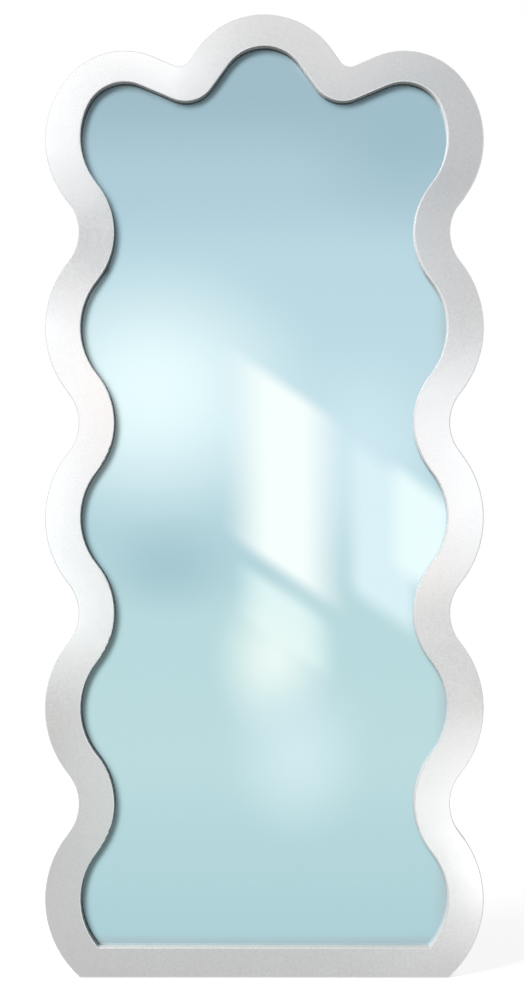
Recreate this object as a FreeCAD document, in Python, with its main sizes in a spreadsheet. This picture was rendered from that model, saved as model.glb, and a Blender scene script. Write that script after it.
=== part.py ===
import FreeCAD, Part
import math
import os

import Sketcher

# Scalloped full-length wall mirror: front towards -Y, wall towards +Y, Z up,
# origin in the middle of the bottom edge and of the whole depth

lobe_count = 4
sides = {"right": 1, "left": -1}
signs = ("", "-")
same_place = 0.001

# Straight runs of the outline, by the circle each one leaves, and the way its ends turn there
runs = {"shoulder": ("shoulder_run", -1), "notch": ("crown_run", 1)}

# Driving dimensions, in millimetres
sizes = {
    # frame outline
    "frame_height": 1650,
    "frame_width": 752,
    "frame_depth": 25,
    "side_band": 61.5,
    "top_band": 54.5,
    "bottom_band": 52,
    "edge_radius": 2,
    "outer_foot_radius": 5,
    "first_lobe_height": 134.5,
    "crown_height": 209.5,
    "outer_lobe_radius": 179.5,
    "outer_valley_radius": 80,
    "outer_corner_radius": 166,
    "outer_corner_drop": 5,
    "outer_shoulder_radius": 126.5,
    "outer_notch_radius": 20.5,
    # opening that shows the glass
    "opening_lobe_radius": 127,
    "opening_valley_radius": 132,
    "opening_corner_radius": 127,
    "opening_corner_drop": 0.5,
    "opening_shoulder_radius": 70,
    "opening_notch_radius": 54.5,
    "crown_radius_step": 66.5,
    "opening_foot_radius": 5,
    # glass, film and bedding
    "glass_thickness": 4,
    "glass_overlap": 8,
    "glass_clearance": 1.5,
    "film_thickness": 0.3,
    "film_inset": 1,
    "tape_thickness": 0.7,
    "tape_width": 20,
    "tape_length": 1100,
    "tape_spacing": 120,
    "block_length": 30,
    "block_spacing": 150,
    # back board
    "board_thickness": 5,
    "board_seat": 12.5,
    "board_clearance": 1.5,
    "board_recess": 4,
    "bottom_screw_spacing": 180,
    # screws
    "screw_diameter": 3.5,
    "screw_tip": 2.5,
    "screw_head_diameter": 7,
    "screw_head_height": 2.2,
    "screw_head_bevel": 0.9,
    "recess_length": 4.2,
    "recess_width": 1.1,
    "recess_depth": 1.5,
    "board_screw_length": 12,
    "hanger_screw_length": 16,
    "pilot_clearance": 0.05,
    "pilot_extra": 1,
    "hole_clearance": 0.25,
    # hanger straps and rings
    "strap_width": 18,
    "strap_thickness": 1.5,
    "strap_corner_radius": 5,
    "strap_hole_spacing": 18,
    "strap_end_margin": 9,
    "ring_wire": 3,
    "ring_clearance": 0.1,
    "ring_side_play": 0.3,
    "ring_bend_radius": 3,
    "ring_leg": 6,
    "ring_screw_gap": 3,
    # wall bumpers
    "bumper_height": 8,
    "bumper_diameter": 20,
    "bumper_top_diameter": 16,
    "bumper_edge_radius": 1.5,
    # through cuts
    "overrun": 1,
}

# Driving angles, in degrees
angles = {
    "outer_shoulder_angle": 41,
    "opening_shoulder_angle": 25,
    "ring_rest_angle": 1,
}

# Driving shares: the radius of the top lobe over the width, and the straight runs over the shoulder's place
shares = {
    "crown_share": 0.189,
    "outer_shoulder_run_share": 0.154,
    "outer_crown_run_share": 0.096,
    "opening_shoulder_run_share": 0.253,
    "opening_crown_run_share": 0.211,
}

# Places worked out from the driving dimensions
places = {
    "half_width": "=Sizes.frame_width / 2",
    "lobe_line": "=Sizes.frame_height - Sizes.crown_height",
    "pitch": f"=(lobe_line - Sizes.first_lobe_height) / {lobe_count}",
    "opening_half": "=half_width - Sizes.side_band",
    "outer_crown_radius": "=Sizes.frame_width * Sizes.crown_share",
    "opening_crown_radius": "=outer_crown_radius - Sizes.crown_radius_step",
    # outline centres
    "outer_lobe_x": "=half_width - Sizes.outer_lobe_radius",
    "outer_corner_x": "=half_width - Sizes.outer_corner_radius",
    "outer_corner_level": "=lobe_line - Sizes.outer_corner_drop",
    "outer_crown_level": "=Sizes.frame_height - outer_crown_radius",
    "outer_bottom": "=0",
    "opening_lobe_x": "=opening_half - Sizes.opening_lobe_radius",
    "opening_corner_x": "=opening_half - Sizes.opening_corner_radius",
    "opening_corner_level": "=lobe_line - Sizes.opening_corner_drop",
    "opening_crown_level": "=Sizes.frame_height - Sizes.top_band - opening_crown_radius",
    "opening_bottom": "=Sizes.bottom_band",
    # how far each hidden outline lies outside the opening
    "film_offset": "=Sizes.glass_overlap - Sizes.film_inset",
    "glass_offset": "=Sizes.glass_overlap",
    "glass_rebate_offset": "=glass_offset + Sizes.glass_clearance",
    "board_offset": "=glass_rebate_offset + Sizes.board_seat",
    "board_rebate_offset": "=board_offset + Sizes.board_clearance",
    "screw_offset": "=glass_rebate_offset + Sizes.board_seat / 2",
    # depths, counted from the front face to the wall
    "wall_y": "=(Sizes.frame_depth + Sizes.bumper_height) / 2",
    "rim_y": "=wall_y - Sizes.bumper_height",
    "board_back_y": "=rim_y - Sizes.board_recess",
    "board_front_y": "=board_back_y - Sizes.board_thickness",
    "film_back_y": "=board_front_y - Sizes.tape_thickness",
    "glass_back_y": "=film_back_y - Sizes.film_thickness",
    "glass_front_y": "=glass_back_y - Sizes.glass_thickness",
    "board_rebate_depth": "=rim_y - board_front_y",
    "glass_rebate_depth": "=rim_y - glass_front_y",
    # screws
    "shank_radius": "=Sizes.screw_diameter / 2",
    "head_radius": "=Sizes.screw_head_diameter / 2",
    "recess_reach": "=Sizes.recess_length / 2",
    "recess_half": "=Sizes.recess_width / 2",
    "pilot_radius": "=shank_radius + Sizes.pilot_clearance",
    "hole_radius": "=shank_radius + Sizes.hole_clearance",
    "board_pilot_depth": "=rim_y - board_back_y + Sizes.board_screw_length + Sizes.pilot_extra",
    "hanger_pilot_depth": "=Sizes.hanger_screw_length - Sizes.strap_thickness + Sizes.pilot_extra",
    "board_hole_depth": "=Sizes.board_thickness + Sizes.overrun",
    "board_shank": "=Sizes.board_screw_length - Sizes.screw_tip",
    "hanger_shank": "=Sizes.hanger_screw_length - Sizes.screw_tip",
    "side_screw_x": "=opening_half + screw_offset",
    "valley_reach": "=Sizes.opening_lobe_radius + Sizes.opening_valley_radius",
    "valley_centre_x": "=opening_lobe_x + sqrt(valley_reach ^ 2 - (pitch / 2) ^ 2)",
    "valley_screw_x": "=valley_centre_x - Sizes.opening_valley_radius + screw_offset",
    "crown_screw_level": "=Sizes.frame_height - Sizes.top_band + screw_offset",
    "bottom_screw_level": "=Sizes.bottom_band - screw_offset",
    # hangers
    "rim_x": "=half_width - (Sizes.side_band - board_rebate_offset) / 2",
    "wire_radius": "=Sizes.ring_wire / 2",
    "eye_radius": "=wire_radius + Sizes.ring_clearance",
    "eye_outer_radius": "=eye_radius + Sizes.strap_thickness",
    "hanger_y": "=rim_y + eye_outer_radius",
    "strap_face_y": "=rim_y + Sizes.strap_thickness",
    "bar_half": "=Sizes.strap_width / 2 + Sizes.ring_side_play",
    "bow_drop": "=Sizes.ring_bend_radius + Sizes.ring_leg + bar_half + Sizes.ring_bend_radius",
    "upper_hole_drop": "=bow_drop + wire_radius + Sizes.ring_screw_gap + head_radius",
    "lower_hole_drop": "=upper_hole_drop + Sizes.strap_hole_spacing",
    "strap_length": "=lower_hole_drop + Sizes.strap_end_margin",
    "hanger_level": "=outer_corner_level + strap_length / 2",
    "upper_hole_level": "=hanger_level - upper_hole_drop",
    "lower_hole_level": "=hanger_level - lower_hole_drop",
    "strap_hole_depth": "=eye_outer_radius + Sizes.overrun",
    # bumpers, below on the lowest lobes and above on the corner shoulders
    "bumper_radius": "=Sizes.bumper_diameter / 2",
    "bumper_top_radius": "=Sizes.bumper_top_diameter / 2",
    "rim_radius": "=Sizes.outer_corner_radius - (half_width - rim_x)",
    "upper_bumper_x": "=outer_corner_x + rim_radius * cos(Sizes.outer_shoulder_angle)",
    "upper_bumper_level": "=outer_corner_level + rim_radius * sin(Sizes.outer_shoulder_angle)",
}

for index in range(lobe_count):
    places[f"lobe_level_{index}"] = f"=Sizes.first_lobe_height + {index} * pitch"
for index in range(lobe_count - 1):
    places[f"valley_level_{index}"] = f"=lobe_level_{index} + pitch / 2"

for base in ("outer", "opening"):
    reach = f"(Sizes.{base}_corner_radius - Sizes.{base}_shoulder_radius)"
    places[f"{base}_shoulder_shift"] = f"={reach} * cos(Sizes.{base}_shoulder_angle)"
    places[f"{base}_shoulder_rise"] = f"={reach} * sin(Sizes.{base}_shoulder_angle)"
    places[f"{base}_shoulder_x"] = f"={base}_corner_x + {base}_shoulder_shift"
    for run, _ in runs.values():
        places[f"{base}_{run}"] = f"={base}_shoulder_x * Sizes.{base}_{run}_share"

for edge in ("film", "glass", "glass_rebate", "board", "board_rebate"):
    for bulge in ("foot", "lobe", "corner", "shoulder"):
        places[f"{edge}_{bulge}_radius"] = f"=Sizes.opening_{bulge}_radius + {edge}_offset"
    places[f"{edge}_crown_radius"] = f"=opening_crown_radius + {edge}_offset"
    for hollow in ("valley", "notch"):
        places[f"{edge}_{hollow}_radius"] = f"=Sizes.opening_{hollow}_radius - {edge}_offset"
    places[f"{edge}_bottom"] = f"=opening_bottom - {edge}_offset"

places["shoulder_screw_level"] = (
    "=opening_corner_level + opening_shoulder_rise + Sizes.opening_shoulder_radius + screw_offset"
)

os.makedirs("parts", exist_ok=True)
doc = FreeCAD.newDocument("ScallopedMirror")


def fill_sheet(name, cells):
    sheet = doc.addObject("Spreadsheet::Sheet", name)
    for row, (alias, content) in enumerate(cells.items(), start=1):
        sheet.set(f"A{row}", alias)
        sheet.set(f"B{row}", str(content))
        sheet.setAlias(f"B{row}", alias)
    return sheet


size_sheet = fill_sheet("Sizes", {**sizes, **angles, **shares})
place_sheet = fill_sheet("Places", places)
doc.recompute()


# A cell's value and its expression, by its alias
def number(alias):
    return (place_sheet if alias in places else size_sheet).get(alias)


def cell(alias):
    return f"Places.{alias}" if alias in places else f"Sizes.{alias}"


# Bodies, sketches and features
def place(item, x, y, z):
    for axis, text in (("x", x), ("y", y), ("z", z)):
        item.setExpression(f"Placement.Base.{axis}", text)
    return item


def new_body(label, x="0", y="0", z="0"):
    body = doc.addObject("PartDesign::Body", label)
    body.Label = label
    return place(body, x, y, z)


def origin_plane(body, role):
    return next(feature for feature in body.Origin.OriginFeatures if feature.Role == role)


def new_sketch(body, name, role):
    sketch = body.newObject("Sketcher::SketchObject", name)
    sketch.AttachmentSupport = [(origin_plane(body, role), "")]
    sketch.MapMode = "FlatFace"
    return sketch


# Sketch rules, plain or sized by a cell, added together
def rule(kind, *targets):
    return Sketcher.Constraint(kind, *targets), None


def sized(alias, kind, *targets):
    return Sketcher.Constraint(kind, *targets, number(alias)), alias


# Pins a point by two aliases: a leading minus is the other side, an empty alias is on the axis
def pinned(shape, point, across, up):
    rules = []
    for kind, axis, alias in (("DistanceX", -2, across), ("DistanceY", -1, up)):
        if not alias:
            rules.append(rule("PointOnObject", shape, point, axis))
        elif alias.startswith("-"):
            rules.append(sized(alias[1:], kind, shape, point, -1, 1))
        else:
            rules.append(sized(alias, kind, -1, 1, shape, point))
    return rules


def add_rules(sketch, rules):
    indices = sketch.addConstraint([constraint for constraint, _ in rules])
    for index, (_, alias) in zip(indices, rules):
        if alias:
            sketch.setExpression(f"Constraints[{index}]", cell(alias))


def signed(alias):
    if not alias:
        return 0
    return -number(alias[1:]) if alias.startswith("-") else number(alias)


def add_polygon(sketch, corners):
    points = [FreeCAD.Vector(signed(across), signed(up), 0) for across, up in corners]
    rules = []
    for line, (start, corner) in enumerate(zip(points, corners)):
        follower = (line + 1) % len(points)
        sketch.addGeometry(Part.LineSegment(start, points[follower]), False)
        rules.append(rule("Coincident", line, 2, follower, 1))
        rules += pinned(line, 1, *corner)
    add_rules(sketch, rules)


def add_circles(sketch, spots, radius):
    rules = [sized(radius, "Radius", 0)]
    for circle, (across, up) in enumerate(spots):
        centre = FreeCAD.Vector(signed(across), signed(up), 0)
        sketch.addGeometry(Part.Circle(centre, FreeCAD.Vector(0, 0, 1), number(radius)), False)
        rules += pinned(circle, 3, across, up)
        if circle:
            rules.append(rule("Equal", 0, circle))
    add_rules(sketch, rules)


def pad(body, name, sketch, length):
    feature = body.newObject("PartDesign::Pad", name)
    feature.Profile = sketch
    feature.setExpression("Length", cell(length))
    doc.recompute()
    return feature


def pocket(body, name, sketch, depth):
    before = body.Shape.Volume
    feature = body.newObject("PartDesign::Pocket", name)
    feature.Profile = sketch
    feature.Reversed = True
    feature.setExpression("Length", cell(depth))
    doc.recompute()
    if body.Shape.Volume >= before:
        raise RuntimeError(f"{name} cuts nothing")
    return feature


def revolve(body, name, sketch):
    feature = body.newObject("PartDesign::Revolution", name)
    feature.Profile = sketch
    feature.ReferenceAxis = (sketch, ["V_Axis"])
    doc.recompute()
    return feature


def ease(body, kind, name, base, size, chosen):
    edges = [f"Edge{index}" for index, edge in enumerate(base.Shape.Edges, start=1) if chosen(edge.BoundBox)]
    if not edges:
        raise RuntimeError(f"{name} has no edges")
    feature = body.newObject(f"PartDesign::{kind}", name)
    feature.Base = (base, edges)
    feature.setExpression("Radius" if kind == "Fillet" else "Size", cell(size))
    doc.recompute()
    return feature


def near(first, second):
    return abs(first - second) < same_place


# Scalloped outline: centres from the base outline, radii from the edge that follows it
def between(first, first_reach, second, second_reach):
    gap = second - first
    along = (first_reach ** 2 - second_reach ** 2 + gap.Length ** 2) / (2 * gap.Length)
    across = math.sqrt(first_reach ** 2 - along ** 2)
    direction = FreeCAD.Vector(gap).normalize()
    return first + direction * along + FreeCAD.Vector(direction.y, -direction.x, 0) * across


# Circles up the right side, from the bottom corner to the crown
def right_circles(base, radius, bottom):
    lobes = [(FreeCAD.Vector(number(f"{base}_lobe_x"), number(f"lobe_level_{index}"), 0), "lobe")
             for index in range(lobe_count)]
    corner = FreeCAD.Vector(number(f"{base}_corner_x"), number(f"{base}_corner_level"), 0)
    shoulder = corner + FreeCAD.Vector(number(f"{base}_shoulder_shift"), number(f"{base}_shoulder_rise"), 0)
    crown = FreeCAD.Vector(0, number(f"{base}_crown_level"), 0)
    lowest = lobes[0][0]
    foot_level = bottom + radius["foot"]
    foot_reach = math.sqrt((radius["lobe"] - radius["foot"]) ** 2 - (lowest.y - foot_level) ** 2)
    chain = [(FreeCAD.Vector(lowest.x + foot_reach, foot_level, 0), "foot"), lobes[0]]
    bulges = lobes + [(corner, "corner")]
    for (low, low_kind), (high, high_kind) in zip(bulges, bulges[1:]):
        valley = between(low, radius[low_kind] + radius["valley"], high, radius[high_kind] + radius["valley"])
        chain += [(valley, "valley"), (high, high_kind)]
    shoulder_reach = math.hypot(radius["shoulder"] + radius["notch"], number(f"{base}_shoulder_run"))
    crown_reach = math.hypot(radius["crown"] + radius["notch"], number(f"{base}_crown_run"))
    notch = between(shoulder, shoulder_reach, crown, crown_reach)
    return chain + [(shoulder, "shoulder"), (notch, "notch"), (crown, "crown")]


# Points where each circle meets the next, or both ends of the run between them
def right_joints(circles, radius, bottom):
    joints = [FreeCAD.Vector(circles[0][0].x, bottom, 0)]
    for (centre, kind), (follower, follower_kind) in zip(circles, circles[1:]):
        if kind == "foot":
            centre, kind, follower = follower, follower_kind, centre
        gap = follower - centre
        direction = FreeCAD.Vector(gap).normalize()
        if kind in runs:
            turn = math.degrees(math.acos((radius[kind] + radius[follower_kind]) / gap.Length))
            direction = FreeCAD.Rotation(FreeCAD.Vector(0, 0, 1), runs[kind][1] * turn).multVec(direction)
        joints.append(centre + direction * radius[kind])
        if kind in runs:
            joints.append(follower - direction * radius[follower_kind])
    return joints


def mirrored(point):
    return FreeCAD.Vector(-point.x, point.y, 0)


def add_outline(sketch, base, edge):
    radius = {kind: number(f"{edge}_{kind}_radius")
              for kind in ("foot", "lobe", "valley", "corner", "shoulder", "notch", "crown")}
    bottom = number(f"{edge}_bottom")
    circles = right_circles(base, radius, bottom)
    joints = right_joints(circles, radius, bottom)
    joints += [mirrored(point) for point in reversed(joints)]
    right = []
    for centre, kind in circles:
        right.append((centre, kind))
        if kind in runs:
            right.append((centre, runs[kind][0]))
    chain = right + [(mirrored(centre), kind) for centre, kind in reversed(right[:-1])]
    first = sketch.GeometryCount
    sketch.addGeometry(Part.LineSegment(joints[-1], joints[0]), False)
    ends = [(1, 2)]
    for (centre, kind), start, end in zip(chain, joints, joints[1:]):
        if kind not in radius:
            sketch.addGeometry(Part.LineSegment(start, end), False)
            ends.append((1, 2))
            continue
        hollow = kind in ("valley", "notch")
        turn = (end, start) if hollow else (start, end)
        sweep = [math.atan2(point.y - centre.y, point.x - centre.x) for point in turn]
        circle = Part.Circle(centre, FreeCAD.Vector(0, 0, 1), radius[kind])
        sketch.addGeometry(Part.ArcOfCircle(circle, *sweep), False)
        ends.append((2, 1) if hollow else (1, 2))
    kinds = [kind for _, kind in chain]
    add_rules(sketch, joint_rules(first, ends) + outline_rules(first, base, edge, kinds))


def joint_rules(first, ends):
    rules = []
    for index, (_, leave) in enumerate(ends):
        follower = (index + 1) % len(ends)
        rules.append(rule("Tangent", first + index, leave, first + follower, ends[follower][0]))
    return rules


def outline_rules(first, base, edge, kinds):
    rules = [rule("Horizontal", first), sized(f"{edge}_bottom", "DistanceY", -1, 1, first, 1)]
    leaders = {}
    for index, kind in enumerate(kinds):
        arc = first + 1 + index
        twin = first + len(kinds) - index
        if kind in leaders:
            rules.append(rule("Equal", leaders[kind], arc))
        elif kind.endswith("_run"):
            rules.append(sized(f"{base}_{kind}", "Distance", arc))
        else:
            rules.append(sized(f"{edge}_{kind}_radius", "Radius", arc))
        leaders.setdefault(kind, arc)
        if kind == "crown":
            rules += pinned(arc, 3, "", f"{base}_crown_level")
        if kind not in ("lobe", "corner") or arc > twin:
            continue
        level = f"lobe_level_{index // 2}" if kind == "lobe" else f"{base}_corner_level"
        rules += pinned(arc, 3, f"{base}_{kind}_x", level)
        rules.append(rule("Symmetric", arc, 3, twin, 3, -2))
        if kind == "corner":
            rules.append(sized(f"{base}_shoulder_shift", "DistanceX", arc, 3, arc + 1, 3))
            rules.append(rule("Horizontal", arc + 1, 3, twin - 1, 3))
    return rules


# Screw places on the board seat, and on the two hanger straps
board_spots = [("", "crown_screw_level"), ("", "bottom_screw_level")]
hanger_spots = []
for sign in signs:
    board_spots += [(f"{sign}side_screw_x", f"lobe_level_{index}") for index in range(lobe_count)]
    board_spots += [(f"{sign}valley_screw_x", f"valley_level_{index}") for index in range(lobe_count - 1)]
    board_spots += [(f"{sign}side_screw_x", "opening_corner_level"),
                    (f"{sign}opening_shoulder_x", "shoulder_screw_level"),
                    (f"{sign}bottom_screw_spacing", "bottom_screw_level")]
    hanger_spots += [(f"{sign}rim_x", "upper_hole_level"), (f"{sign}rim_x", "lower_hole_level")]
bumper_spots = [(f"{sign}rim_x", "lobe_level_0") for sign in signs]
bumper_spots += [(f"{sign}upper_bumper_x", "upper_bumper_level") for sign in signs]


# Frame ring: the scalloped band with its two rebates and its pilot holes
def make_frame_ring():
    ring = new_body("frame_ring", y=cell("rim_y"))
    band_sketch = new_sketch(ring, "BandSketch", "XZ_Plane")
    add_outline(band_sketch, "outer", "outer")
    add_outline(band_sketch, "opening", "opening")
    band = pad(ring, "Band", band_sketch, "frame_depth")
    front = band.Shape.BoundBox.YMin
    ease(ring, "Fillet", "FrontEdges", band, "edge_radius", lambda box: near(box.YMax, front))
    for edge in ("glass_rebate", "board_rebate"):
        rebate_sketch = new_sketch(ring, f"{edge}_sketch", "XZ_Plane")
        add_outline(rebate_sketch, "opening", edge)
        pocket(ring, edge, rebate_sketch, f"{edge}_depth")
    for name, spots in (("board_pilot", board_spots), ("hanger_pilot", hanger_spots)):
        pilot_sketch = new_sketch(ring, f"{name}_sketch", "XZ_Plane")
        add_circles(pilot_sketch, spots, "pilot_radius")
        pocket(ring, name, pilot_sketch, f"{name}_depth")
    return ring


# Flat plates that follow the opening: glass, film and board
def make_plate(label, edge, thickness, back):
    plate = new_body(label, y=cell(back))
    sketch = new_sketch(plate, f"{label}_outline", "XZ_Plane")
    add_outline(sketch, "opening", edge)
    pad(plate, f"{label}_sheet", sketch, thickness)
    return plate


def make_backing_board():
    board = make_plate("backing_board", "board", "board_thickness", "board_back_y")
    hole_sketch = new_sketch(board, "BoardHoleSketch", "XZ_Plane")
    add_circles(hole_sketch, board_spots, "hole_radius")
    pocket(board, "BoardHoles", hole_sketch, "board_hole_depth")
    return board


# Groups of separate solids
def group(label, members):
    compound = doc.addObject("Part::Compound", label)
    compound.Label = label
    compound.Links = members
    return compound


def spread(label, master, spots, y):
    links = []
    for index, (across, up) in enumerate(spots):
        link = doc.addObject("App::Link", f"{label}_{index}")
        link.LinkedObject = master
        sign = "-" if across.startswith("-") else ""
        x = sign + cell(across.lstrip("-")) if across else "0"
        links.append(place(link, x, y, cell(up)))
    return group(label, links)


def make_block(name, length, width, height):
    block = doc.addObject("Part::Box", name)
    for side, alias in (("Length", length), ("Width", width), ("Height", height)):
        block.setExpression(side, cell(alias))
    return block


# Rubber blocks under the glass, in the clearance of its rebate
def make_setting_blocks():
    blocks = []
    for name, side in sides.items():
        block = make_block(f"setting_block_{name}", "block_length", "glass_thickness", "glass_clearance")
        x = f"{side} * Sizes.block_spacing - Sizes.block_length / 2"
        blocks.append(place(block, x, cell("glass_front_y"), cell("glass_rebate_bottom")))
    return group("setting_blocks", blocks)


# Foam strips between the film and the board
def make_foam_tapes():
    tapes = []
    for name, column in {**sides, "middle": 0}.items():
        tape = make_block(f"foam_tape_{name}", "tape_width", "tape_thickness", "tape_length")
        x = f"{column} * Sizes.tape_spacing - Sizes.tape_width / 2"
        z = "(Sizes.frame_height - Sizes.tape_length) / 2"
        tapes.append(place(tape, x, cell("film_back_y"), z))
    return group("foam_tapes", tapes)


# Pan-head screw with a cross recess: head towards the wall, point towards the front
def make_screw(name, length, shank):
    screw = new_body(name)
    sketch = new_sketch(screw, f"{name}_profile", "XY_Plane")
    add_polygon(sketch, [("", "screw_head_height"), ("", f"-{length}"), ("shank_radius", f"-{shank}"),
                         ("shank_radius", ""), ("head_radius", ""), ("head_radius", "screw_head_height")])
    turned = revolve(screw, f"{name}_turned", sketch)
    top = turned.Shape.BoundBox.YMax
    ease(screw, "Chamfer", f"{name}_bevel", turned, "screw_head_bevel", lambda box: near(box.YMin, top))
    slots = {"level": ("recess_reach", "recess_half"), "upright": ("recess_half", "recess_reach")}
    for slot, (across, up) in slots.items():
        slot_sketch = new_sketch(screw, f"{name}_{slot}_sketch", "XZ_Plane")
        slot_sketch.setExpression("AttachmentOffset.Base.z", f"-{cell('screw_head_height')}")
        corners = [(across, up), (f"-{across}", up), (f"-{across}", f"-{up}"), (across, f"-{up}")]
        add_polygon(slot_sketch, corners)
        pocket(screw, f"{name}_{slot}_slot", slot_sketch, "recess_depth")
    return screw


# Hanger strap: a flat tail on the rim, rolled at its upper end round the bar of the ring
def make_strap(name, side):
    strap = new_body(f"hanger_strap_{name}", f"{side} * {cell('rim_x')}",
                     cell("hanger_y"), cell("hanger_level"))
    sketch = new_sketch(strap, f"StrapProfile_{name}", "YZ_Plane")
    inner, outer, tail = number("eye_radius"), number("eye_outer_radius"), number("strap_length")
    corners = [(-outer, -tail), (-outer, 0), (0, -outer), (0, -inner), (-inner, 0), (-inner, -tail)]
    points = [FreeCAD.Vector(*corner, 0) for corner in corners]
    back, tip, face, end, outside, inside = range(len(points))
    for start in (0, 2, 4, 5):
        sketch.addGeometry(Part.LineSegment(points[start], points[(start + 1) % len(points)]), False)
    rules = []
    for arc, reach, alias in ((outside, outer, "eye_outer_radius"), (inside, inner, "eye_radius")):
        circle = Part.Circle(FreeCAD.Vector(), FreeCAD.Vector(0, 0, 1), reach)
        sketch.addGeometry(Part.ArcOfCircle(circle, -math.pi / 2, math.pi), False)
        rules += [rule("Coincident", arc, 3, -1, 1), sized(alias, "Radius", arc)]
    for line, line_end, arc in ((back, 2, outside), (face, 1, inside)):
        rules += [rule("Tangent", line, line_end, arc, 2), rule("Vertical", line)]
    for tip_end, arc in ((1, outside), (2, inside)):
        rules += [rule("Coincident", tip, tip_end, arc, 1), rule("PointOnObject", tip, tip_end, -2)]
    rules += [rule("Coincident", face, 2, end, 1), rule("Coincident", end, 2, back, 1)]
    rules.append(rule("Horizontal", end))
    rules.append(sized("strap_length", "DistanceY", back, 1, -1, 1))
    add_rules(sketch, rules)
    sheet = pad(strap, f"StrapSheet_{name}", sketch, "strap_width")
    sheet.Midplane = True
    doc.recompute()
    low = sheet.Shape.BoundBox.ZMin
    ease(strap, "Fillet", f"StrapEnd_{name}", sheet, "strap_corner_radius",
         lambda box: near(box.ZMax, low) and near(box.XLength, 0))
    hole_sketch = new_sketch(strap, f"StrapHoleSketch_{name}", "XZ_Plane")
    add_circles(hole_sketch, [("", "-upper_hole_drop"), ("", "-lower_hole_drop")], "hole_radius")
    pocket(strap, f"StrapHoles_{name}", hole_sketch, "strap_hole_depth")
    return strap


# Wire ring: one half swept from the middle of its bar to the middle of its bow, then mirrored
def make_ring(name, side):
    ring = new_body(f"d_ring_{name}", f"{side} * {cell('rim_x')}", cell("hanger_y"), cell("hanger_level"))
    ring.Placement.Rotation = FreeCAD.Rotation(FreeCAD.Vector(1, 0, 0), number("ring_rest_angle"))
    ring.setExpression("Placement.Rotation.Angle", cell("ring_rest_angle"))
    path = new_sketch(ring, f"RingPath_{name}", "XZ_Plane")
    bar_end, bend_reach = number("bar_half"), number("ring_bend_radius")
    width = bar_end + bend_reach
    bow_level = -bend_reach - number("ring_leg")
    up = FreeCAD.Vector(0, 0, 1)
    bend_circle = Part.Circle(FreeCAD.Vector(bar_end, -bend_reach, 0), up, bend_reach)
    bow_circle = Part.Circle(FreeCAD.Vector(0, bow_level, 0), up, width)
    bar = path.addGeometry(Part.LineSegment(FreeCAD.Vector(), FreeCAD.Vector(bar_end, 0, 0)), False)
    bend = path.addGeometry(Part.ArcOfCircle(bend_circle, 0, math.pi / 2), False)
    leg = path.addGeometry(Part.LineSegment(
        FreeCAD.Vector(width, -bend_reach, 0), FreeCAD.Vector(width, bow_level, 0)), False)
    bow = path.addGeometry(Part.ArcOfCircle(bow_circle, -math.pi / 2, 0), False)
    rules = [rule("Coincident", bar, 1, -1, 1), rule("Horizontal", bar), rule("Vertical", leg)]
    for first, first_end, second, second_end in ((bar, 2, bend, 2), (bend, 1, leg, 1), (leg, 2, bow, 2)):
        rules.append(rule("Tangent", first, first_end, second, second_end))
    rules += [rule("PointOnObject", bow, point, -2) for point in (1, 3)]
    rules.append(sized("bar_half", "DistanceX", bar, 1, bar, 2))
    rules.append(sized("ring_bend_radius", "Radius", bend))
    rules.append(sized("ring_leg", "DistanceY", leg, 2, leg, 1))
    add_rules(path, rules)
    wire = new_sketch(ring, f"RingWire_{name}", "YZ_Plane")
    add_circles(wire, [("", "")], "wire_radius")
    half = ring.newObject("PartDesign::AdditivePipe", f"RingHalf_{name}")
    half.Profile = wire
    half.Spine = (path, [])
    doc.recompute()
    whole = ring.newObject("PartDesign::Mirrored", f"RingWhole_{name}")
    whole.Originals = [half]
    whole.MirrorPlane = (origin_plane(ring, "YZ_Plane"), [""])
    ring.Tip = whole
    doc.recompute()
    return ring


# Rubber bumper: a low round foot with a flat face for the wall
def make_bumper():
    bumper = new_body("wall_bumper")
    sketch = new_sketch(bumper, "BumperProfile", "XY_Plane")
    add_polygon(sketch, [("", ""), ("bumper_radius", ""), ("bumper_top_radius", "bumper_height"),
                         ("", "bumper_height")])
    turned = revolve(bumper, "BumperTurned", sketch)
    top = turned.Shape.BoundBox.YMax
    ease(bumper, "Fillet", "BumperEdge", turned, "bumper_edge_radius", lambda box: near(box.YMin, top))
    return bumper


nodes = [
    make_frame_ring(),
    make_plate("mirror_glass", "glass", "glass_thickness", "glass_back_y"),
    make_plate("safety_film", "film", "film_thickness", "film_back_y"),
    make_foam_tapes(),
    make_setting_blocks(),
    make_backing_board(),
]
board_screw = make_screw("board_screw", "board_screw_length", "board_shank")
hanger_screw = make_screw("hanger_screw", "hanger_screw_length", "hanger_shank")
nodes.append(spread("board_screws", board_screw, board_spots, cell("board_back_y")))
nodes.append(spread("hanger_screws", hanger_screw, hanger_spots, cell("strap_face_y")))
nodes.append(spread("wall_bumpers", make_bumper(), bumper_spots, cell("rim_y")))
for name, side in sides.items():
    nodes.append(make_strap(name, side))
    nodes.append(make_ring(name, side))
doc.recompute()

for item in doc.Objects:
    if "Invalid" in item.State or "Error" in item.State:
        raise RuntimeError(f"{item.Label}: {item.State}")
for node in nodes:
    if node.Shape.isNull() or not node.Shape.isValid():
        raise RuntimeError(f"{node.Label} has no valid shape")
for node in nodes:
    node.Shape.exportStep(f"parts/{node.Label}.step")
    print(node.Label, len(node.Shape.Solids), "solids", round(node.Shape.Volume), "mm3")
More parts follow.
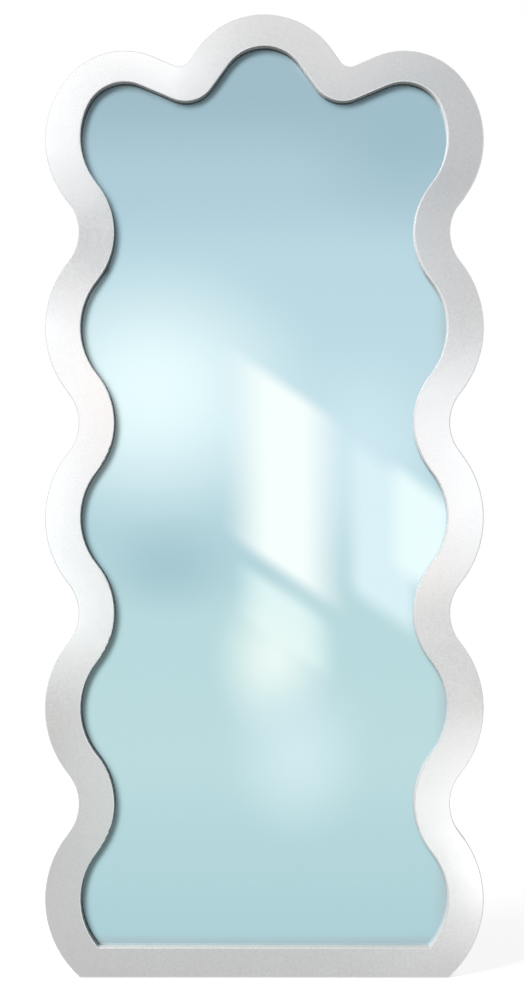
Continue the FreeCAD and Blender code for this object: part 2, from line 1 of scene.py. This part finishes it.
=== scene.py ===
import math
import bpy
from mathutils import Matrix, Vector


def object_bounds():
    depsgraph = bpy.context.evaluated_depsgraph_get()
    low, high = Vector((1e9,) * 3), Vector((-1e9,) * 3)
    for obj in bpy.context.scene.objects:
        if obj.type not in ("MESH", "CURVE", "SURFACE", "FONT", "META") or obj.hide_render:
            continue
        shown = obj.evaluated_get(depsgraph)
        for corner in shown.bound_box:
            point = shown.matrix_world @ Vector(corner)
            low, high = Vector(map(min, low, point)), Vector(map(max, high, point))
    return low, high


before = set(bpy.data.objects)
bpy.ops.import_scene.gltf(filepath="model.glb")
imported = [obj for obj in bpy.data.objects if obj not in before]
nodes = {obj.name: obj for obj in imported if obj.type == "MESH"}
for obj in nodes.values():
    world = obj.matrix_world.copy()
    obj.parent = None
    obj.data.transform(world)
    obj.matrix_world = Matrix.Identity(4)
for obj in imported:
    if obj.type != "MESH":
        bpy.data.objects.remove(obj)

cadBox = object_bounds()
bpy.ops.object.select_all(action="DESELECT")
print("frame loaded:", len(nodes), "nodes")

noiseSpread = (0.3, 0.7)        # where most of a noise's values lie
black = (0, 0, 0, 1)


def feed(tree, node, inputs):
    for name, value in inputs.items():
        if isinstance(value, bpy.types.NodeSocket):
            tree.links.new(value, node.inputs[name])
        else:
            node.inputs[name].default_value = value


def addNode(tree, kind, inputs=None, **settings):
    node = tree.nodes.new(kind)
    for name, value in settings.items():
        setattr(node, name, value)
    feed(tree, node, inputs or {})
    return node


def mapRange(tree, value, low, high, start, end, curve="SMOOTHSTEP"):
    ends = {"Value": value, "From Min": low, "From Max": high, "To Min": start, "To Max": end}
    return addNode(tree, "ShaderNodeMapRange", ends, interpolation_type=curve).outputs[0]


def mixColor(tree, factor, first, second):
    # inputs 6 and 7 are the two colours of a colour mix
    return addNode(tree, "ShaderNodeMix", {0: factor, 6: first, 7: second}, data_type="RGBA").outputs[2]


def mixValue(tree, factor, first, second):
    # inputs 2 and 3 are the two values of a plain mix
    return addNode(tree, "ShaderNodeMix", {0: factor, 2: first, 3: second}).outputs[0]


def calc(tree, operation, *values):
    return addNode(tree, "ShaderNodeMath", dict(enumerate(values)), operation=operation).outputs[0]


def calcVector(tree, operation, *values):
    return addNode(tree, "ShaderNodeVectorMath", dict(enumerate(values)), operation=operation).outputs


def noise(tree, where, scale, detail=3, roughness=0.5):
    sizes = {"Vector": where, "Scale": scale, "Detail": detail, "Roughness": roughness}
    return addNode(tree, "ShaderNodeTexNoise", sizes).outputs["Fac"]


def weave(tree, where, scale, wander=0):
    # two sets of waves, one across the object and one up it
    sizes = {"Vector": where, "Scale": scale, "Distortion": wander}
    return [addNode(tree, "ShaderNodeTexWave", sizes, bands_direction=way).outputs["Fac"] for way in "XZ"]


def stretched(tree, where, scale):
    return addNode(tree, "ShaderNodeMapping", {"Vector": where, "Scale": scale}).outputs[0]


def bump(tree, height, strength, distance):
    ends = {"Height": height, "Strength": strength, "Distance": distance}
    return addNode(tree, "ShaderNodeBump", ends).outputs[0]


def startFinish(name):
    finish = bpy.data.materials.new(name)
    finish.use_nodes = True
    tree = finish.node_tree
    coords = addNode(tree, "ShaderNodeTexCoord").outputs
    return finish, tree, tree.nodes["Principled BSDF"], coords


def dress(nodeNames, finish):
    for name in nodeNames:
        slots = nodes[name].data.materials
        slots.clear()
        slots.append(finish)


# camera: square to the front, placed from the picture's own scale
cameraView = {
    "pictureHeight": 1000,
    "pictureWidth": 524,
    "axisPixel": 264.24,        # the mirror's middle in the picture
    "bottomPixel": 977.885,     # its bottom edge
    "metresPerPixel": 0.0017116,
    "distance": 2.0,
    "sensor": 36.0,
}
frontY = cadBox[0][1]
pixel = cameraView["metresPerPixel"]
bpy.ops.object.camera_add(rotation=(math.radians(90), 0, 0))
camera = bpy.context.object
camera.name = "frontCamera"
camera.location.x = (cameraView["pictureWidth"] / 2 - cameraView["axisPixel"]) * pixel
camera.location.y = frontY - cameraView["distance"]
camera.location.z = (cameraView["bottomPixel"] - cameraView["pictureHeight"] / 2) * pixel
camera.data.sensor_width = cameraView["sensor"]
camera.data.lens = cameraView["sensor"] * cameraView["distance"] / (cameraView["pictureHeight"] * pixel)
bpy.context.scene.camera = camera
bpy.context.scene.view_settings.view_transform = "Standard"
print("camera set, lens", round(camera.data.lens, 2))


# silver band: buffed satin face, plain sprayed walls, bare fibreboard behind
silverBand = {
    "faceColor": (0.96, 0.945, 0.935, 1),
    "wallColor": (0.72, 0.72, 0.72, 1),
    "boardColor": (0.42, 0.325, 0.228, 1),
    "boardFleck": (0.335, 0.25, 0.168, 1),
    "faceTurn": (-0.93, -0.45),     # the normal's y, from the buffed face to a wall
    "backTurn": (0.5, 0.9),         # and from a wall to the bare back
    "grainScale": 330,
    "sparkScale": 1100,
    "sparkShare": 0.5,
    "grainDepth": 0.09,
    "grainBump": (0.06, 0.0003),    # strength and height, as in every bump below
    "cloudScale": 7,
    "fleckScale": 950,
    "fleckStretch": (1, 1, 0.6),
    "fleckEdge": (0.35, 0.65),
    "stainEdge": (0.35, 0.75),
    "stainDepth": 0.25,
    "faceRoughness": (0.15, 0.20),
    "grainRoughness": (-0.02, 0.02),
    "wallRoughness": (0.45, 0.58),
}


def makeSilverBand(look):
    finish, tree, shader, coords = startFinish("satinSilver")
    where = coords["Object"]
    facing = addNode(tree, "ShaderNodeSeparateXYZ", {0: coords["Normal"]}).outputs["Y"]
    face = mapRange(tree, facing, *look["faceTurn"], 1, 0)
    back = mapRange(tree, facing, *look["backTurn"], 0, 1)
    grain = noise(tree, where, look["grainScale"], roughness=0.6)
    spark = noise(tree, where, look["sparkScale"], detail=2)
    grain = mixValue(tree, look["sparkShare"], grain, spark)
    cloud = noise(tree, where, look["cloudScale"], detail=2)
    longWays = stretched(tree, where, look["fleckStretch"])
    fleck = noise(tree, longWays, look["fleckScale"], detail=4, roughness=0.7)
    flecked = mapRange(tree, fleck, *look["fleckEdge"], 0, 1)
    stained = mapRange(tree, cloud, *look["stainEdge"], 0, look["stainDepth"])
    board = mixColor(tree, flecked, look["boardFleck"], look["boardColor"])
    board = mixColor(tree, stained, board, look["boardFleck"])
    color = mixColor(tree, face, look["wallColor"], look["faceColor"])
    color = mixColor(tree, mapRange(tree, grain, *noiseSpread, look["grainDepth"], 0), color, black)
    color = mixColor(tree, back, color, board)
    polish = mapRange(tree, cloud, *noiseSpread, *look["faceRoughness"])
    polish = calc(tree, "ADD", polish, mapRange(tree, grain, *noiseSpread, *look["grainRoughness"]))
    dull = mapRange(tree, grain, *noiseSpread, *look["wallRoughness"])
    feed(tree, shader, {
        "Base Color": color,
        "Metallic": face,
        "Roughness": mixValue(tree, face, dull, polish),
        "Normal": bump(tree, grain, *look["grainBump"]),
    })
    return finish


dress(["frame_ring"], makeSilverBand(silverBand))
print("silver band finished")


# mirror glass: pale silvering, with a painted shadow of the band darkening its tint along its upper and left
# edges
mirrorGlass = {
    "tint": (0.70, 0.915, 0.965, 1),
    "roughness": (0.012, 0.032),
    "smearScale": 5,
    "smearStretch": (1, 1, 0.4),
    "smearEdge": (0.35, 0.7),
    "shadeReach": 0.021,
    "shadeLean": (-1.225, 0, 1.225),    # towards the light, added to the face's own normal
    "shadeEdge": (0.30, 0.69),          # open share, from the deepest shade to none
    "shadeLevel": 0.24,                 # what the deepest shade leaves of the tint
    "shadeSamples": 16,
}


def makeMirrorGlass(look):
    finish, tree, shader, coords = startFinish("mirrorSilver")
    # painted shadow: ambient occlusion, leaned towards the light, darkens the tint where the band's upper and
    # left walls would shade the glass
    normal = addNode(tree, "ShaderNodeNewGeometry").outputs["Normal"]
    lean = calcVector(tree, "ADD", normal, look["shadeLean"])[0]
    lean = calcVector(tree, "NORMALIZE", lean)[0]
    reach = {"Distance": look["shadeReach"], "Normal": lean}
    openShare = addNode(tree, "ShaderNodeAmbientOcclusion", reach, samples=look["shadeSamples"]).outputs["AO"]
    paintedShade = mapRange(tree, openShare, *look["shadeEdge"], look["shadeLevel"], 1)
    smear = noise(tree, stretched(tree, coords["Object"], look["smearStretch"]), look["smearScale"])
    feed(tree, shader, {
        "Base Color": mixColor(tree, paintedShade, black, look["tint"]),
        "Metallic": 1.0,
        "Roughness": mapRange(tree, smear, *look["smearEdge"], *look["roughness"]),
    })
    return finish


dress(["mirror_glass"], makeMirrorGlass(mirrorGlass))
print("mirror glass finished")


# layers behind the glass, woven safety film, foam tapes and setting blocks, and the wall bumpers
safetyFilm = {
    "color": (0.34, 0.36, 0.38, 1),
    "thread": (0.45, 0.47, 0.49, 1),
    "weaveScale": 130.0,
    "threadEdge": (0.8, 1),
    "cloudScale": 40,
    "roughness": (0.38, 0.5),
    "bump": (0.25, 0.0003),
}
foamTape = {
    "color": (0.80, 0.80, 0.77, 1),
    "pore": (0.60, 0.60, 0.57, 1),
    "poreScale": 1400.0,
    "poreEdge": (0.1, 0.6),
    "poreReach": (0, 0.8),
    "roughness": (0.75, 0.95),
    "bump": (0.4, 0.0004),
}
rubber = {
    "blockColor": (0.030, 0.030, 0.032, 1),
    "blockGrain": 900,
    "bumperColor": (0.022, 0.022, 0.024, 1),
    "bumperGrain": 700,
    "dust": (1.7, 0.01),            # the colour is multiplied by the first and raised by the second
    "dustEdge": (0.45, 0.75),
    "roughness": (0.55, 0.8),
    "bump": (0.3, 0.0003),
}


def makeFilm(look):
    finish, tree, shader, coords = startFinish("safetyFilm")
    where = coords["Object"]
    thread = calc(tree, "MAXIMUM", *weave(tree, where, look["weaveScale"]))
    woven = mapRange(tree, thread, *look["threadEdge"], 0, 1)
    cloud = noise(tree, where, look["cloudScale"])
    feed(tree, shader, {
        "Base Color": mixColor(tree, woven, look["color"], look["thread"]),
        "Roughness": mapRange(tree, cloud, *noiseSpread, *look["roughness"]),
        "Normal": bump(tree, thread, *look["bump"]),
    })
    return finish


def makeFoam(look):
    finish, tree, shader, coords = startFinish("closedFoam")
    cells = {"Vector": coords["Object"], "Scale": look["poreScale"]}
    pores = addNode(tree, "ShaderNodeTexVoronoi", cells).outputs["Distance"]
    pitted = mapRange(tree, pores, *look["poreEdge"], 0, 1)
    feed(tree, shader, {
        "Base Color": mixColor(tree, pitted, look["color"], look["pore"]),
        "Roughness": mapRange(tree, pores, *look["poreReach"], *look["roughness"]),
        "Normal": bump(tree, pores, *look["bump"]),
    })
    return finish


def makeRubber(name, look, color, scale):
    finish, tree, shader, coords = startFinish(name)
    skin = noise(tree, coords["Object"], scale, detail=4, roughness=0.6)
    times, plus = look["dust"]
    dusty = tuple(channel * times + plus for channel in color[:3]) + (1,)
    feed(tree, shader, {
        "Base Color": mixColor(tree, mapRange(tree, skin, *look["dustEdge"], 0, 1), color, dusty),
        "Roughness": mapRange(tree, skin, *noiseSpread, *look["roughness"]),
        "Normal": bump(tree, skin, *look["bump"]),
    })
    return finish


dress(["safety_film"], makeFilm(safetyFilm))
dress(["foam_tapes"], makeFoam(foamTape))
dress(["setting_blocks"], makeRubber("blockRubber", rubber, rubber["blockColor"], rubber["blockGrain"]))
dress(["wall_bumpers"], makeRubber("bumperRubber", rubber, rubber["bumperColor"], rubber["bumperGrain"]))
print("layers behind the glass and bumpers finished")


# back board: hardboard with its screen mark
backBoard = {
    "color": (0.235, 0.135, 0.072, 1),
    "fibre": (0.305, 0.187, 0.106, 1),
    "dark": (0.150, 0.082, 0.043, 1),
    "fibreScale": 620,
    "fibreStretch": (1, 1, 0.5),
    "fibreEdge": (0.42, 0.68),
    "patchScale": 11,
    "patchEdge": (0.42, 0.75),
    "patchDepth": 0.4,
    "screenScale": 95.0,
    "screenWander": 0.6,
    "roughness": (0.6, 0.82),
    "bump": (0.35, 0.0004),
}


def makeHardboard(look):
    finish, tree, shader, coords = startFinish("hardboard")
    where = coords["Object"]
    longWays = stretched(tree, where, look["fibreStretch"])
    fibre = noise(tree, longWays, look["fibreScale"], detail=5, roughness=0.7)
    patch = noise(tree, where, look["patchScale"], detail=4, roughness=0.55)
    screen = calc(tree, "MULTIPLY", *weave(tree, where, look["screenScale"], look["screenWander"]))
    fibrous = mapRange(tree, fibre, *look["fibreEdge"], 0, 1)
    patchy = mapRange(tree, patch, *look["patchEdge"], 0, look["patchDepth"])
    color = mixColor(tree, fibrous, look["color"], look["fibre"])
    feed(tree, shader, {
        "Base Color": mixColor(tree, patchy, color, look["dark"]),
        "Roughness": mapRange(tree, fibre, *noiseSpread, *look["roughness"]),
        "Normal": bump(tree, calc(tree, "ADD", screen, fibre), *look["bump"]),
    })
    return finish


dress(["backing_board"], makeHardboard(backBoard))
print("back board finished")


# hanging hardware: zinc-plated steel, brushed along each part
hardware = {
    "zinc": (0.62, 0.63, 0.65, 1),
    "zincDull": (0.46, 0.47, 0.49, 1),
    "brushScale": 900,
    "strapBrush": (1, 1, 0.06),     # smallest along the brush marks
    "wireBrush": (0.3, 1, 1),
    "screwBrush": (1, 1, 1),
    "spangleScale": 140,
    "spangleEdge": (0.35, 0.7),
    "roughness": (0.23, 0.40),
    "bump": (0.12, 0.0002),
}


def makeZinc(name, look, brushing):
    finish, tree, shader, coords = startFinish(name)
    where = coords["Object"]
    brush = noise(tree, stretched(tree, where, brushing), look["brushScale"], detail=4, roughness=0.6)
    spangle = noise(tree, where, look["spangleScale"])
    dulled = mapRange(tree, spangle, *look["spangleEdge"], 0, 1)
    feed(tree, shader, {
        "Base Color": mixColor(tree, dulled, look["zinc"], look["zincDull"]),
        "Metallic": 1.0,
        "Roughness": mapRange(tree, brush, *noiseSpread, *look["roughness"]),
        "Normal": bump(tree, brush, *look["bump"]),
    })
    return finish


dress(["hanger_strap_left", "hanger_strap_right"], makeZinc("zincStrap", hardware, hardware["strapBrush"]))
dress(["d_ring_left", "d_ring_right"], makeZinc("zincWire", hardware, hardware["wireBrush"]))
dress(["board_screws", "hanger_screws"], makeZinc("zincScrew", hardware, hardware["screwBrush"]))
print("hardware finished")


# studio: white ground, a pale half dome in front with soft light panels, a key lamp and a back lamp
studio = {
    "floorReach": 4.0,
    "floorSides": 96,
    "floorFade": (1.2, 3.8),        # from solid to clear, in metres from the middle
    "floorColor": (0.42, 0.42, 0.42, 1),
    "floorWhite": 0.70,
    "ambient": 0.45,                # share of the white surroundings that reaches matt surfaces
    "domeReach": 9.0,
    "domeFaces": (64, 32),          # around and up
    "domeEdge": -0.3,               # y where the dome ends
    "domeFill": 0.15,               # share of the dome's light that reaches matt surfaces
}
lamps = {
    "keyLamp": {"power": 200.0, "size": 1.8, "place": (-2.4, -1.5, 3.0), "target": (0, 0, 0.8)},
    "backLamp": {"power": 60.0, "size": 2.0, "place": (1.8, 2.6, 2.8), "target": (0, 0, 0.9)},
}

# what the glass and the band mirror to the camera: places in metres on the mirror's front, x across, z up
rampTop = 2.0
domeHeights = [
    (0.00, (0.60, 0.68, 0.70, 1)),
    (0.06, (0.60, 0.70, 0.71, 1)),
    (0.22, (0.66, 0.74, 0.74, 1)),
    (0.37, (0.72, 0.78, 0.77, 1)),
    (0.58, (0.70, 0.77, 0.76, 1)),
    (0.75, (0.66, 0.73, 0.75, 1)),
    (0.93, (0.76, 0.80, 0.83, 1)),
    (1.21, (0.71, 0.76, 0.80, 1)),
    (1.37, (0.61, 0.67, 0.72, 1)),
    (1.53, (0.50, 0.555, 0.605, 1)),
]
domeSides = {                       # outside the glass the dome is neutral, for the band
    "neutral": (0.59, 0.58, 0.58, 1),
    "neutralTop": (0.82, 0.815, 0.81, 1),
    "neutralBottom": (0.57, 0.55, 0.555, 1),
    "besideStart": (0.292, 0.332),
    "bottomStart": (0.065, 0.035),
    "topSoft": (-0.012, 0.012),
    "crownAside": (0.01, 0.13),     # the upper edge falls from the crown to the notches
    "crownHeights": (1.612, 1.513),
    "shoulderAside": (0.15, 0.22),  # and rises again to the shoulders
    "shoulderHeights": (1.513, 1.541),
    "far": (0.70, 0.75, 0.78, 1),   # plain outside what this camera sees mirrored
    "farAside": (0.60, 0.85),
    "farUp": (1.85, 2.15),
    "farDown": (-0.15, -0.45),
}

# each panel's centre, half width and half height; a square one has soft sides and ends and may fall to the
# right, a round one has a soft rim; later panels lie over earlier ones
rimOverrun = 0.5                    # share of a rim's softness that lies outside it
lightPanels = {
    "haze": {"at": (-0.19, 1.010), "size": (0.22, 0.178), "rim": 1.0, "color": (1.17, 1.08, 1.04, 1)},
    "dimRight": {"at": (0.25, 1.47), "size": (0.16, 0.15), "rim": 1.0, "color": (0.50, 0.57, 0.62, 1)},
    "dim": {"at": (-0.16, 0.705), "size": (0.105, 0.07), "rim": 1.0, "color": (0.55, 0.635, 0.66, 1)},
    "paleRight": {"at": (0.172, 0.885), "size": (0.11, 0.155), "rim": 1.0, "color": (0.88, 0.885, 0.92, 1)},
    "paneWide": {"at": (0.039, 0.853), "size": (0.069, 0.160), "soft": (0.70, 0.11), "fall": 0.68,
                 "color": (1.32, 1.10, 1.03, 1)},
    "paneFaint": {"at": (0.208, 0.752), "size": (0.054, 0.126), "soft": (0.40, 0.20), "fall": 0.68,
                  "color": (1.00, 0.97, 0.97, 1)},
    "paneRight": {"at": (0.275, 0.756), "size": (0.047, 0.086), "soft": (0.45, 0.26), "fall": 0.68,
                  "color": (1.19, 1.08, 1.03, 1)},
    "strip": {"at": (0.038, 0.612), "size": (0.060, 0.045), "soft": (0.60, 0.35), "fall": 0.68,
              "color": (1.02, 0.99, 0.95, 1)},
    "lowGlow": {"at": (0.020, 0.545), "size": (0.080, 0.110), "rim": 1.0, "color": (1.17, 1.04, 0.95, 1)},
    "lowHaze": {"at": (0.060, 0.380), "size": (0.10, 0.12), "rim": 1.0, "color": (0.90, 0.90, 0.89, 1)},
    "bandTopLeft": {"at": (-0.62, 1.6525), "size": (0.302, 0.3075), "soft": (0.05, 0.10),
                    "color": (1.38, 1.40, 1.415, 1)},
    "bandTop": {"at": (-0.29, 1.735), "size": (0.185, 0.170), "soft": (0.12, 0.08), "fall": 0.24,
                "color": (1.22, 1.23, 1.24, 1)},
    "notchLeft": {"at": (-0.150, 1.545), "size": (0.050, 0.026), "rim": 0.4, "color": (2.40, 2.41, 2.42, 1)},
    "crownRight": {"at": (0.135, 1.59), "size": (0.05, 0.04), "rim": 0.4, "color": (1.25, 1.10, 1.02, 1)},
    "cornerDim": {"at": (0.35, 1.36), "size": (0.035, 0.06), "rim": 0.4, "color": (0.40, 0.37, 0.36, 1)},
    "bandLeft": {"at": (-0.62, 0.8845), "size": (0.302, 0.3315), "soft": (0.05, 0.12),
                 "color": (1.20, 1.25, 1.29, 1)},
    "shoulderLeft": {"at": (-0.317, 1.338), "size": (0.03, 0.036), "rim": 0.4,
                     "color": (1.60, 1.61, 1.62, 1)},
    "hipLeft": {"at": (-0.322, 1.186), "size": (0.03, 0.036), "rim": 0.4, "color": (1.60, 1.61, 1.62, 1)},
    "valleyDark": {"at": (-0.345, 1.257), "size": (0.079, 0.046), "soft": (0.08, 0.25),
                   "color": (0.02, 0.02, 0.02, 1)},
    "valleyLeft": {"at": (-0.293, 0.624), "size": (0.028, 0.055), "rim": 0.4, "color": (2.28, 2.29, 2.30, 1)},
    "valleyRight": {"at": (0.293, 0.950), "size": (0.028, 0.055), "rim": 0.4, "color": (2.00, 2.02, 2.03, 1)},
    "valleyLowRight": {"at": (0.293, 0.298), "size": (0.028, 0.055), "rim": 0.4,
                       "color": (2.28, 2.29, 2.30, 1)},
    "bandRight": {"at": (0.62, 0.862), "size": (0.302, 0.182), "soft": (0.05, 0.32),
                  "color": (1.19, 1.265, 1.315, 1)},
    "valleyShade": {"at": (0.305, 0.612), "size": (0.040, 0.050), "rim": 0.4, "color": (0.42, 0.47, 0.50, 1)},
    "bandLowRight": {"at": (0.645, 0.235), "size": (0.310, 0.160), "soft": (0.05, 0.40),
                     "color": (1.48, 1.50, 1.51, 1)},
}


def afterBounce(tree, path, share):
    # full strength until the light has met a matt surface, a share of it from then on
    return mapRange(tree, path["Diffuse Depth"], 0, 1, 1, share, "LINEAR")


def makeWorld():
    world = bpy.data.worlds.new("studioWorld")
    bpy.context.scene.world = world
    world.use_nodes = True
    tree = world.node_tree
    path = addNode(tree, "ShaderNodeLightPath").outputs
    level = afterBounce(tree, path, studio["ambient"])
    feed(tree, tree.nodes["Background"], {"Color": (1, 1, 1, 1), "Strength": level})


def startStage(name):
    finish = bpy.data.materials.new(name)
    finish.use_nodes = True
    tree = finish.node_tree
    tree.nodes.remove(tree.nodes["Principled BSDF"])
    where = addNode(tree, "ShaderNodeTexCoord").outputs["Object"]
    path = addNode(tree, "ShaderNodeLightPath").outputs
    return finish, tree, where, path


def makeFloor():
    bpy.ops.mesh.primitive_circle_add(vertices=studio["floorSides"], radius=studio["floorReach"],
                                      fill_type="TRIFAN")
    floor = bpy.context.object
    floor.name = "studioFloor"
    floor.visible_glossy = False
    finish, tree, where, path = startStage("paleFloor")
    fade = mapRange(tree, calcVector(tree, "LENGTH", where)["Value"], *studio["floorFade"], 0, 1)
    matte = addNode(tree, "ShaderNodeBsdfDiffuse", {"Color": studio["floorColor"]}).outputs[0]
    white = calc(tree, "MULTIPLY", path["Is Camera Ray"], studio["floorWhite"])
    glow = addNode(tree, "ShaderNodeEmission", {"Strength": white}).outputs[0]
    lit = addNode(tree, "ShaderNodeAddShader", {0: matte, 1: glow}).outputs[0]
    clear = addNode(tree, "ShaderNodeBsdfTransparent").outputs[0]
    surface = addNode(tree, "ShaderNodeMixShader", {0: fade, 1: lit, 2: clear}).outputs[0]
    feed(tree, tree.nodes["Material Output"], {"Surface": surface})
    floor.data.materials.append(finish)


def panelMask(tree, across, up, panel):
    (x, z), (width, height) = panel["at"], panel["size"]
    sideways = calc(tree, "SUBTRACT", across, x)
    upwards = calc(tree, "SUBTRACT", up, z)
    if "fall" in panel:
        upwards = calc(tree, "ADD", upwards, calc(tree, "MULTIPLY", sideways, panel["fall"]))
    sideways = calc(tree, "ABSOLUTE", calc(tree, "DIVIDE", sideways, width))
    upwards = calc(tree, "ABSOLUTE", calc(tree, "DIVIDE", upwards, height))
    if "rim" in panel:
        squares = [calc(tree, "POWER", part, 2.0) for part in (sideways, upwards)]
        away = calc(tree, "SQRT", calc(tree, "ADD", *squares))
        return mapRange(tree, away, 1 - panel["rim"], 1 + panel["rim"] * rimOverrun, 1, 0)
    softX, softZ = panel["soft"]
    sides = mapRange(tree, sideways, 1 - softX, 1 + softX, 1, 0)
    ends = mapRange(tree, upwards, 1 - softZ, 1 + softZ, 1, 0)
    return calc(tree, "MULTIPLY", sides, ends)


def makeDomeMesh(eye):
    around, upwards = studio["domeFaces"]
    bpy.ops.mesh.primitive_uv_sphere_add(segments=around, ring_count=upwards, radius=studio["domeReach"],
                                         location=(0, 0, eye))
    dome = bpy.context.object
    dome.name = "studioDome"
    bpy.ops.object.mode_set(mode="EDIT")
    bpy.ops.mesh.select_all(action="SELECT")
    bpy.ops.mesh.bisect(plane_co=(0, studio["domeEdge"], eye), plane_no=(0, 1, 0), clear_outer=True)
    bpy.ops.object.mode_set(mode="OBJECT")
    bpy.ops.object.transform_apply(location=True)
    dome.visible_camera = False
    dome.visible_shadow = False
    return dome


def heightRamp(tree, up):
    ramp = addNode(tree, "ShaderNodeValToRGB", {"Fac": calc(tree, "DIVIDE", up, rampTop)})
    ramp.color_ramp.interpolation = "EASE"
    points = ramp.color_ramp.elements
    while len(points) < len(domeHeights):
        points.new(1.0)
    for point, (height, paintedShade) in zip(points, domeHeights):
        point.position = height / rampTop
        point.color = paintedShade
    return ramp.outputs["Color"]


def domeColor(tree, across, up, sides):
    aside = calc(tree, "ABSOLUTE", across)
    crown = mapRange(tree, aside, *sides["crownAside"], *sides["crownHeights"])
    shoulder = mapRange(tree, aside, *sides["shoulderAside"], *sides["shoulderHeights"])
    pastTop = calc(tree, "SUBTRACT", up, calc(tree, "MAXIMUM", crown, shoulder))
    color = mixColor(tree, mapRange(tree, pastTop, *sides["topSoft"], 0, 1),
                     heightRamp(tree, up), sides["neutralTop"])
    color = mixColor(tree, mapRange(tree, aside, *sides["besideStart"], 0, 1), color, sides["neutral"])
    color = mixColor(tree, mapRange(tree, up, *sides["bottomStart"], 0, 1), color, sides["neutralBottom"])
    for panel in lightPanels.values():
        color = mixColor(tree, panelMask(tree, across, up, panel), color, panel["color"])
    far = mapRange(tree, aside, *sides["farAside"], 0, 1)
    for limits in ("farUp", "farDown"):
        far = calc(tree, "MAXIMUM", far, mapRange(tree, up, *sides[limits], 0, 1))
    return mixColor(tree, far, color, sides["far"])


def makeDome():
    eye = camera.location.z
    dome = makeDomeMesh(eye)
    finish, tree, where, path = startStage("domeCloth")
    finish.cycles.emission_sampling = "NONE"
    part = addNode(tree, "ShaderNodeSeparateXYZ", {0: where}).outputs
    depth = calc(tree, "MULTIPLY", part["Y"], -1.0)
    # a dome point's direction, brought back to the place on the mirror that shows it to the camera
    scale = 1 / (1 / cameraView["distance"] + 1 / studio["domeReach"])
    across = calc(tree, "MULTIPLY", calc(tree, "DIVIDE", part["X"], depth), scale)
    up = calc(tree, "DIVIDE", calc(tree, "SUBTRACT", part["Z"], eye), depth)
    up = calc(tree, "ADD", calc(tree, "MULTIPLY", up, scale), eye)
    light = {"Color": domeColor(tree, across, up, domeSides),
             "Strength": afterBounce(tree, path, studio["domeFill"])}
    surface = addNode(tree, "ShaderNodeEmission", light).outputs[0]
    feed(tree, tree.nodes["Material Output"], {"Surface": surface})
    dome.data.materials.append(finish)


def makeLamp(name, look):
    bpy.ops.object.light_add(type="AREA", location=look["place"])
    lamp = bpy.context.object
    lamp.name = name
    lamp.data.energy = look["power"]
    lamp.data.size = look["size"]
    lamp.visible_glossy = False
    lamp.rotation_euler = (lamp.location - Vector(look["target"])).to_track_quat("Z", "Y").to_euler()


makeWorld()
makeFloor()
makeDome()
for lampName, lampLook in lamps.items():
    makeLamp(lampName, lampLook)
print("studio set:", len(lightPanels), "panels")
